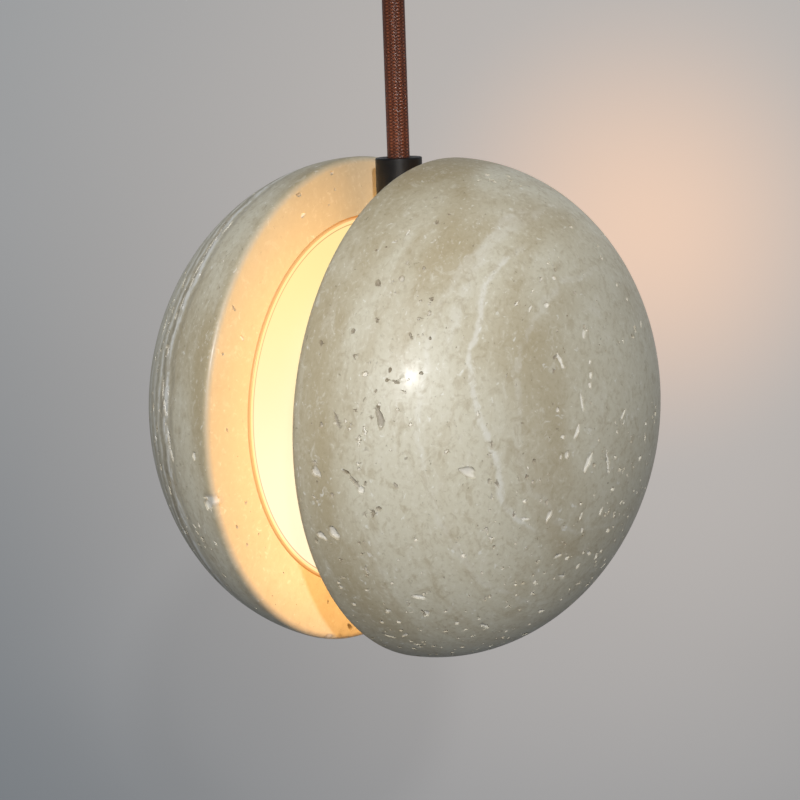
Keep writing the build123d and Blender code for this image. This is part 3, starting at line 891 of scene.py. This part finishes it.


# Veins: their X in mm in the middle of the lamp, how far X shifts per mm of height, half width in mm,
# strength, and whether they are pale
# The pale streaks on the left half are partly the stone's pale veining and partly painted light, where
# the pores along them catch the flash
VEINS = (
    (49.5, -0.08, 0.5, 0.2, True),
    (66.0, -0.1, 0.35, 0.2, True),
    (-36.8, -0.02, 0.9, 0.6, False),
    (-31.6, -0.02, 0.8, 0.35, False),
    (-34.6, -0.02, 0.85, 1.0, True),
    (-39.0, -0.02, 0.4, 0.8, True),
    (-41.0, -0.02, 0.6, 0.45, False),
    (-43.0, -0.02, 0.5, 0.6, True),
    (-47.5, -0.02, 0.4, 0.6, True),
)

# How much the veins bow, per metre of height
VEIN_BOW = 1.4

# Pale veins seen on the right dome: half width in mm, strength, and their path in pixels
VEIN_FADE = 3 * MM
PALE_VEIN = (240, 238, 230)
DARK_VEIN = (128, 116, 94)
SEEN_VEINS = (
    (0.38, 0.5, ((515, 252), (498, 268), (484, 290), (480, 315), (476, 334), (469, 360), (474, 392),
                 (478, 412), (487, 438), (497, 462), (500, 486), (506, 508), (520, 522), (536, 530))),
    (0.8, 0.22, ((524, 216), (512, 228), (488, 247), (474, 266), (463, 292), (455, 318), (449, 338))),
)


def stone_material():
    """Polished travertine: cloudy layers, pale veins, mottling, specks and pits, with painted shade at
    the right dome's far end and painted light and shade in the pits.
    """
    m = new_material("travertine")
    place = m.place()
    axes = m.axes(place)
    clouds = m.noise(m.stretch(place, (46, 13, 13)), 1.0, 3, 0.5, 0.6)
    bands = m.noise(m.stretch(place, (170, 20, 20)), 1.0, 5, 0.6, 0.5)
    mottle = m.noise(m.stretch(place, (900, 620, 620)), 1.0, 3, 0.6, 0.4)
    blots = m.noise(m.stretch(place, (330, 190, 190)), 1.0, 4, 0.65, 0.9)
    grain = m.noise(place, 2200, 2, 0.5)
    specks = m.noise(m.stretch(place, (1150, 800, 800)), 1.0, 1, 0.4, 0.6)
    flecks = m.noise(m.stretch(place, (760, 480, 480)), 1.0, 1, 0.4, 0.8)
    beige_near_gap = m.step(axes[0], 25 * MM, 38 * MM, 0, 0.2)
    beige_at_end = m.step(axes[0], 60 * MM, 72 * MM, 0, -0.12)
    grey_left = m.step(axes[0], -15.5 * MM, -24 * MM, 0, 0.3)
    layer = m.plus(m.plus(beige_near_gap, beige_at_end), m.plus(grey_left, clouds))
    colour = m.mix(m.step(layer, 0.4, 0.76), srgb(184, 170, 138), srgb(214, 208, 187))
    colour = m.mix(m.step(bands, 0.5, 0.72, 0, 0.4), colour, srgb(182, 166, 134))
    colour = m.mix(m.step(bands, 0.26, 0.42, 0.4, 0), colour, srgb(220, 215, 198))
    colour = m.mix(m.step(blots, 0.5, 0.68, 0, 0.42), colour, srgb(174, 159, 128))
    colour = m.mix(m.step(blots, 0.3, 0.44, 0.42, 0), colour, srgb(224, 219, 203))
    colour = m.mix(m.step(mottle, 0.5, 0.74, 0, 0.34), colour, srgb(164, 149, 119))
    colour = m.mix(m.step(mottle, 0.26, 0.44, 0.4, 0), colour, srgb(234, 230, 217))
    dark_speck = m.times(m.step(specks, 0.7, 0.78, 0, 0.6), m.step(blots, 0.46, 0.56))
    colour = m.mix(dark_speck, colour, srgb(126, 112, 90))
    pale_fleck = m.times(m.step(flecks, 0.68, 0.76, 0, 0.6), m.step(blots, 0.56, 0.44))
    colour = m.mix(pale_fleck, colour, srgb(240, 238, 230))
    height = m.math("SUBTRACT", axes[2], LAMP_Z)
    wander = m.times(m.math("SUBTRACT", m.noise(place, 60, 4, 0.6), 0.5), 7 * MM)
    across = m.plus(axes[0], wander)
    front = m.step(axes[1], 25 * MM, -15 * MM, 0.15, 1)
    jitter = m.times(m.math("SUBTRACT", m.noise(place, 240, 3, 0.6), 0.5), 1.8 * MM)
    for width, strength, path in SEEN_VEINS:
        places = [seen_on_dome(pixel, SIDES["right"]) for pixel in path]
        points = sorted((p[2], p[0] + FACE_X) for p in places)
        low, high = points[0][0], points[-1][0]
        line = m.math("SUBTRACT", m.plus(axes[0], jitter), m.curve(height, points))
        near = m.step(m.math("ABSOLUTE", line), width * 0.3 * MM, width * 2.2 * MM, strength, 0)
        near = m.times(near, m.step(height, low - VEIN_FADE, low + VEIN_FADE))
        near = m.times(near, m.step(height, high + VEIN_FADE, high - VEIN_FADE))
        near = m.times(near, m.step(blots, 0.62, 0.44, 0.35, 1))
        near = m.times(near, m.step(axes[1], 0, -8 * MM))
        colour = m.mix(near, colour, srgb(*PALE_VEIN))
    for middle, slope, width, strength, pale in VEINS:
        lean = m.times(height, m.plus(m.times(height, VEIN_BOW), slope))
        line = m.math("SUBTRACT", across, m.plus(lean, middle * MM))
        near = m.step(m.math("ABSOLUTE", line), width * 0.3 * MM, width * 2.2 * MM, strength, 0)
        broken = m.times(near, m.step(blots, 0.6, 0.44, 0.3, 1))
        tone = srgb(*(PALE_VEIN if pale else DARK_VEIN))
        colour = m.mix(m.times(broken, front), colour, tone)
    # Painted shade: the far end of the right dome is greyed, darker where the light falls off towards
    # it
    colour = m.mix(m.step(axes[0], 54 * MM, 70 * MM, 0, 0.17), colour, srgb(96, 96, 92))
    on_face = m.step(m.math("ABSOLUTE", axes[0]), FACE_X + 1.6 * MM, FACE_X + 0.4 * MM, 0, 0.55)
    colour = m.mix(on_face, colour, srgb(206, 196, 171))
    # Pit colour: partly the pores' own tone, partly painted shade in the dark ones and painted flash
    # light in the pale ones
    pit_tone_with_painted_light = m.mix(m.value("pale"), srgb(118, 102, 80), srgb(238, 234, 224))
    colour = m.mix(m.times(m.value("pit"), 0.8), colour, pit_tone_with_painted_light)
    rougher = m.times(m.value("pit"), 0.35)
    rough = m.plus(m.step(mottle, 0.3, 0.8, 0.42, 0.56), rougher)
    relief = m.plus(m.times(mottle, 0.6), m.times(grain, 0.4))
    m.bump(relief, 0.012 * MM)
    return m.finish(Base_Color=colour, Roughness=rough, IOR=1.5, Coat_Weight=0.12, Coat_Roughness=0.2)


def opal_material():
    """Lit opal acrylic: bright over the light source, and dimmer in the thin lines of its joint."""
    m = new_material("lit_opal")
    axes = m.axes(m.place())
    height = m.math("SUBTRACT", axes[2], LAMP_Z)
    radius = m.math("SQRT", m.plus(m.math("POWER", axes[1], 2), m.math("POWER", height, 2)))
    rim = m.step(radius, 55.3 * MM, 56.1 * MM)
    low = m.step(height, -0.03, 0.05, 1.0, 0.0)
    colour = m.mix(low, srgb(242, 226, 156), srgb(244, 240, 206))
    colour = m.mix(m.step(radius, 0.015, 0.05, 0.5, 0.0), colour, srgb(246, 245, 218))
    glow = m.mix(rim, colour, srgb(232, 202, 146))
    inner = m.times(m.step(radius, 55.1 * MM, 55.3 * MM), m.step(radius, 55.6 * MM, 55.4 * MM))
    lines = m.math("MAXIMUM", inner, m.step(radius, 56.35 * MM, 56.5 * MM))
    glow = m.mix(m.times(lines, 0.85), glow, srgb(200, 134, 74))
    buried = m.step(m.math("ABSOLUTE", axes[0]), FACE_X + 0.2 * MM, FACE_X + 1.2 * MM)
    buried = m.times(buried, m.step(radius, 56.5 * MM, 56.7 * MM))
    glow = m.mix(buried, glow, srgb(192, 120, 52))
    milk = m.noise(m.place(), 260, 3, 0.6)
    m.bump(milk, 0.01 * MM)
    base = m.mix(rim, srgb(92, 88, 76), srgb(150, 132, 96))
    return m.finish(Base_Color=base, Emission_Color=glow, Emission_Strength=0.95,
                    Roughness=m.step(milk, 0.3, 0.7, 0.3, 0.42))


def braid_material():
    """Dark red-brown woven yarn with a silky gloss, a painted sheen on the yarns of one direction and
    painted shade between the yarns.
    """
    m = new_material("braid")
    lift = m.value("lift")
    threads = m.math("SINE", m.times(m.value("across"), 9))
    # Painted sheen: the yarns of one direction are lighter than those crossing them
    colour = m.mix(m.value("first"), srgb(134, 76, 52), srgb(90, 46, 30))
    # Painted shade: dark where the yarns dip between their neighbours
    colour = m.mix(m.step(lift, 0.35, 0.95), srgb(38, 16, 10), colour)
    colour = m.mix(m.step(threads, -1, 1, 0, 0.3), colour, srgb(134, 78, 54))
    m.bump(threads, 0.02 * MM)
    return m.finish(Base_Color=colour, Roughness=0.28, Specular_IOR_Level=0.3)


def metal_material(name, colour, rough):
    """Machined or plated metal with fine tool marks."""
    m = new_material(name)
    marks = m.noise(m.place(), 900, 3, 0.6)
    cloud = m.noise(m.place(), 120, 3, 0.5)
    tone = m.mix(m.step(cloud, 0.3, 0.7, 0, 0.3), colour, tuple(c * 0.7 for c in colour[:3]) + (1,))
    m.bump(marks, 0.01 * MM)
    marked = m.step(marks, 0.3, 0.7, rough - 0.06, rough + 0.08)
    return m.finish(Base_Color=tone, Metallic=1.0, Roughness=marked)


def plain_material(name, colour, rough, scale=700, relief=0.02, darker=0.8, shine=0.5):
    """Moulded, painted or sprayed surfaces: a fine grain and slight changes of tone."""
    m = new_material(name)
    grain = m.noise(m.place(), scale, 3, 0.6)
    cloud = m.noise(m.place(), 90, 3, 0.5)
    tone = m.mix(m.step(cloud, 0.3, 0.7), colour, tuple(c * darker for c in colour[:3]) + (1,))
    m.bump(grain, relief * MM)
    grainy = m.step(grain, 0.3, 0.7, rough - 0.05, rough + 0.08)
    return m.finish(Base_Color=tone, Roughness=grainy, Specular_IOR_Level=shine)


# Plain finishes: name, colour, roughness, how dark the darker tone is, and the pieces
PLAIN = (
    ("silicone", (214, 210, 202), 0.55, 0.94, both("diffuser_washer")),
    ("board_white", (226, 226, 220), 0.35, 0.94, both("led_board")),
    ("led_yellow", (232, 196, 84), 0.3, 0.9, both("leds")),
    ("lead_white", (218, 214, 206), 0.45, 0.93, both("leads")),
    ("black_nylon", (30, 29, 29), 0.5, 0.8, ("cord_grip", "cord_outlet", "outlet_nut")),
    ("core_brown", (102, 64, 42), 0.45, 0.8, ("cord_cores", "supply_wires")),
    ("terminal_plastic", (222, 220, 212), 0.4, 0.94, ("terminal_block",)),
    ("earth_green", (86, 140, 60), 0.45, 0.9, ("earth_wire",)),
    ("driver_plastic", (206, 206, 202), 0.42, 0.94, ("led_driver",)),
)

# Metal finishes: name, colour, roughness and the pieces
ZINC_PIECES = ["cross_rod", "ceiling_bracket", "earth_tag", "earth_screw", "terminal_screws"]
METAL = (
    ("screw_steel", (176, 176, 178), 0.3, both("board_screws", "plate_screws")),
    ("plate_aluminium", (196, 198, 200), 0.4, both("back_plate")),
    ("insert_brass", (196, 158, 90), 0.35, both("stone_inserts")),
    ("collar_aluminium", (188, 190, 194), 0.36, both("spacer_collar")),
    ("zinc_steel", (168, 170, 172), 0.36, both("lock_nut") + ZINC_PIECES),
    ("screw_black", (46, 44, 44), 0.4, ("hub_grub_screw", "cord_grip_screw", "cup_screws")),
)


def dress_everything():
    """Gives each piece and each carried-over node its finish."""
    dress(stone_material(), [stone.name for stone in stones])
    dress(opal_material(), both("diffuser"))
    dress(braid_material(), ["braided_cord"])
    dress(plain_material("black_paint", srgb(17, 17, 18), 0.4, shine=0.32), ["stem", "hub"])
    dress(plain_material("cup_black", srgb(34, 33, 33), 0.45, 1500, 0.006), ["ceiling_cup"])
    dress(plain_material("pad_foam", srgb(70, 70, 70), 0.85, 400, 0.1), ["driver_pad"])
    for name, colour, rough, darker, pieces in PLAIN:
        dress(plain_material(name, srgb(*colour), rough, darker=darker), pieces)
    for name, colour, rough, pieces in METAL:
        dress(metal_material(name, srgb(*colour), rough), pieces)


dress_everything()


# Studio

ROOM_RADIUS = 2.6
ROOM_BEND = 0.9
BEND_STEPS = 16
ROOM_COLUMNS = 96
ROOM_TOP = 4.5
FLOOR_Z = LAMP_Z - 1.3
AWAY = Vector((-math.sin(VIEW_AZIMUTH), math.cos(VIEW_AZIMUTH), 0))
RIGHT = Vector((math.cos(VIEW_AZIMUTH), math.sin(VIEW_AZIMUTH), 0))
# Middle of the painted pool of the lamp's warm light on the backdrop
PAINTED_GLOW_PLACE = LAMP_CENTRE + AWAY * ROOM_RADIUS + RIGHT * 0.4 - Vector((0, 0, 0.22))


def show(m, shader, other, output):
    """One shader for the camera, for reflections and through clear things, and another for the rest."""
    path = m.add("ShaderNodeLightPath").outputs
    seen = m.math("MAXIMUM", path["Is Camera Ray"], path["Is Glossy Ray"])
    seen = m.math("MAXIMUM", seen, path["Is Transmission Ray"])
    switch = m.add("ShaderNodeMixShader")
    m.put(switch.inputs[0], seen)
    m.put(switch.inputs[1], other.outputs[0])
    m.put(switch.inputs[2], shader.outputs[0])
    m.put(m.tree.nodes[output].inputs["Surface"], switch.outputs[0])


def backdrop_material():
    """An even pale grey, a little darker low down, with a painted pool of the lamp's warm light behind
    its right side.
    """
    m = new_material("backdrop")
    place = m.place()
    axes = m.axes(place)
    soft = m.noise(place, 1.1, 2, 0.5)
    grey = m.mix(m.step(axes[2], FLOOR_Z, LAMP_Z + 0.6), srgb(120, 125, 130), srgb(160, 166, 170))
    grey = m.mix(m.step(soft, 0.35, 0.65, 0, 0.25), grey, srgb(166, 169, 172))
    node = m.add("ShaderNodeVectorMath", operation="DISTANCE")
    m.put(node.inputs[0], place)
    node.inputs[1].default_value = PAINTED_GLOW_PLACE
    away = node.outputs["Value"]
    # Painted light: a warm pool of the lamp's glow on the backdrop, brightest in its middle
    colour = m.mix(m.step(away, 0.15, 1.5, 0.85, 0), grey, srgb(212, 204, 198))
    colour = m.mix(m.step(away, 0.0, 0.42, 1, 0), colour, srgb(255, 222, 198))
    glow = m.add("ShaderNodeEmission")
    m.put(glow.inputs["Color"], colour)
    glow.inputs["Strength"].default_value = 0.6
    matt = m.add("ShaderNodeBsdfDiffuse")
    m.put(matt.inputs["Color"], colour)
    both_shaders = m.add("ShaderNodeAddShader")
    m.put(both_shaders.inputs[0], glow.outputs[0])
    m.put(both_shaders.inputs[1], matt.outputs[0])
    show(m, both_shaders, m.add("ShaderNodeBsdfTransparent"), "Material Output")
    m.tree.nodes.remove(m.shader)
    return m.owner


def make_backdrop():
    """A round pale floor that curves up into a wall all round."""
    profile = []
    for i in range(BEND_STEPS + 1):
        turn = math.pi / 2 * i / BEND_STEPS
        out = ROOM_RADIUS - ROOM_BEND + ROOM_BEND * math.sin(turn)
        profile.append((out, FLOOR_Z + ROOM_BEND * (1 - math.cos(turn))))
    profile.append((ROOM_RADIUS, ROOM_TOP))
    count = ROOM_COLUMNS
    points = [(0, 0, FLOOR_Z)]
    for radius, height in profile:
        for k in range(count):
            turn = 2 * math.pi * k / count
            points.append((radius * math.cos(turn), radius * math.sin(turn), height))
    faces = [(0, 1 + k, 1 + (k + 1) % count) for k in range(count)]
    for i in range(len(profile) - 1):
        for k in range(count):
            a, b = 1 + i * count + k, 1 + i * count + (k + 1) % count
            faces.append((a, a + count, b + count, b))
    drop = add_mesh("backdrop", points, faces)
    drop.data.materials.append(backdrop_material())


SURROUND_AIM = Vector((-0.45, 0, 0.9)).normalized()
SURROUND_LOW = 0.03
SURROUND_HIGH = 0.35
SURROUND_COLOUR = (0.96, 0.98, 1.0, 1)
FLASH_WAY = Vector((0.613, -0.707, 0.353))
FLASH_FAR = 1.2
FRONT_PLACE = Vector((-0.9, -1.2, 1.2))
BACK_PLACE = Vector((-0.3, 1.7, 0.7))
GLOW_SIZE = 2.08 * RIM_CENTRE_RADIUS
GLOW_COLOUR = (1.0, 0.49, 0.125)
WHITE = (1, 1, 1)


def add_area(name, place, target, size, power, colour, shiny=True):
    """A soft round lamp that points at a target. A lamp that isn't shiny shows in no reflection."""
    data = bpy.data.lights.new(name, "AREA")
    data.shape = "DISK"
    data.size = size
    data.energy = power
    data.color = colour
    light = bpy.data.objects.new(name, data)
    light.location = place
    light.rotation_euler = (Vector(target) - Vector(place)).to_track_quat("-Z", "Y").to_euler()
    light.visible_camera = False
    light.visible_glossy = shiny
    bpy.context.collection.objects.link(light)
    return light


def make_surround():
    """Soft light from all round, stronger from above and from the left."""
    world = bpy.data.worlds.new("surround")
    bpy.context.scene.world = world
    m = Nodes(world)
    aim = m.add("ShaderNodeVectorMath", operation="DOT_PRODUCT")
    m.put(aim.inputs[0], m.add("ShaderNodeTexCoord").outputs["Generated"])
    aim.inputs[1].default_value = SURROUND_AIM
    level = m.add("ShaderNodeMapRange")
    m.put(level.inputs["Value"], aim.outputs["Value"])
    level.inputs["From Min"].default_value = -1
    level.inputs["To Min"].default_value = SURROUND_LOW
    level.inputs["To Max"].default_value = SURROUND_HIGH
    soft = m.tree.nodes["Background"]
    soft.inputs["Color"].default_value = SURROUND_COLOUR
    m.put(soft.inputs["Strength"], level.outputs["Result"])
    seen = m.add("ShaderNodeBackground")
    seen.inputs["Color"].default_value = srgb(166, 169, 172)
    show(m, seen, soft, "World Output")


def light_scene():
    """A flash beside the camera, soft light in front and behind, and the warm light in the gap."""
    add_area("flash", LAMP_CENTRE + FLASH_WAY * FLASH_FAR, LAMP_CENTRE, 0.04, 10.2, WHITE)
    add_area("front", LAMP_CENTRE + FRONT_PLACE, LAMP_CENTRE, 1.0, 0.8, WHITE, shiny=False)
    add_area("back", LAMP_CENTRE + BACK_PLACE, LAMP_CENTRE, 1.2, 8, WHITE, shiny=False)
    for side in SIDES.values():
        place = LAMP_CENTRE + Vector((side * (FACE_X - 1.5 * MM), 0, -7 * MM))
        aim = place - Vector((side, 0, 0))
        glow = add_area(f"glow_{side}", place, aim, GLOW_SIZE, 0.109, GLOW_COLOUR, shiny=False)
        glow.parent = stones[0]


make_backdrop()
make_surround()
light_scene()

bpy.context.scene.view_settings.view_transform = "Standard"
